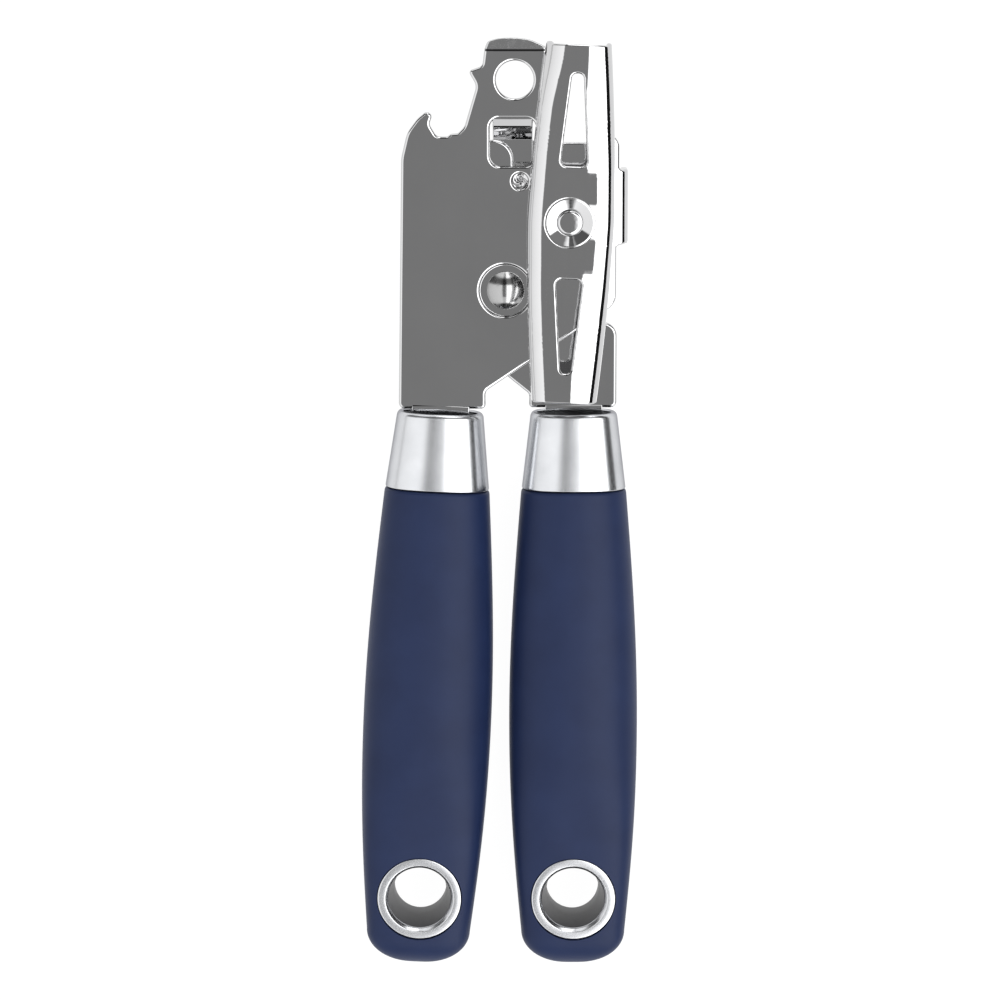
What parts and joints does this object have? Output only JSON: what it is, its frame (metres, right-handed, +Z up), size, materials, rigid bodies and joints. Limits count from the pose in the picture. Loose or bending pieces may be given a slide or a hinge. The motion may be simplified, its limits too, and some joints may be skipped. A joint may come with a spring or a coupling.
{
  "type": "manual can opener",
  "caption": "Pliers-type manual can opener with geared cutting wheel, turning crank, bottle-opener notch and soft-touch handles with hang eyes.",
  "frame": {"origin": "middle of the underside, lying flat with the crank up", "axes": "+Y from the handle ends to the head, +Z up on the crank side, +X to the right seen from the crank side with the head away"},
  "size_m": [0.0631, 0.2121, 0.0259],
  "materials": {
    "plate_chrome": "bright nickel-chrome plate on pressed steel",
    "rivet_chrome": "bright plated rivet, slightly darker than the sheet",
    "turned_steel": "turned steel, plain",
    "gear_steel": "cut steel gear, plain",
    "blade_steel": "ground cutting steel",
    "satin_metal": "satin silver plate with a fine blasted grain",
    "soft_grip": "navy soft-touch skin, very fine grain",
    "core_plastic": "dark grey moulded plastic"
  },
  "bodies": {
    "upper_lever": {"upper_plate": "plate_chrome", "main_rivet": "rivet_chrome", "rivet_washer": "rivet_chrome", "shaft_bushing": "turned_steel", "left_ferrule": "satin_metal", "left_core": "core_plastic", "left_grip": "soft_grip", "left_tang_pin": "turned_steel", "left_eyelet_front": "satin_metal", "left_eyelet_back": "satin_metal"},
    "lower_lever": {"lower_plate": "plate_chrome", "cutter_axle": "turned_steel", "axle_washer": "turned_steel", "right_ferrule": "satin_metal", "right_core": "core_plastic", "right_grip": "soft_grip", "right_tang_pin": "turned_steel", "right_eyelet_front": "satin_metal", "right_eyelet_back": "satin_metal"},
    "crank": {"crank_key": "plate_chrome", "drive_shaft": "rivet_chrome", "crank_washer": "turned_steel", "drive_gear": "gear_steel", "feed_wheel": "turned_steel"},
    "cutter": {"cutter_gear": "gear_steel", "cutting_wheel": "blade_steel"}
  },
  "joints": [
    {"name": "handle_pivot", "type": "hinge", "parent": "upper_lever", "child": "lower_lever", "pos_m": [0.00124, 0.04925, 0.0095], "axis": [0, 0, 1], "range_deg": [0, 38]},
    {"name": "crank_spin", "type": "hinge", "parent": "upper_lever", "child": "crank", "pos_m": [0.01555, 0.06505, 0.0123], "axis": [0, 0, 1], "continuous": true},
    {"name": "cutter_spin", "type": "hinge", "parent": "lower_lever", "child": "cutter", "pos_m": [0.00456, 0.07385, 0.003], "axis": [0, 0, 1], "continuous": true}
  ],
  "couplings": [
    {"joint": "cutter_spin", "follows": "crank_spin", "ratio": -1}
  ]
}
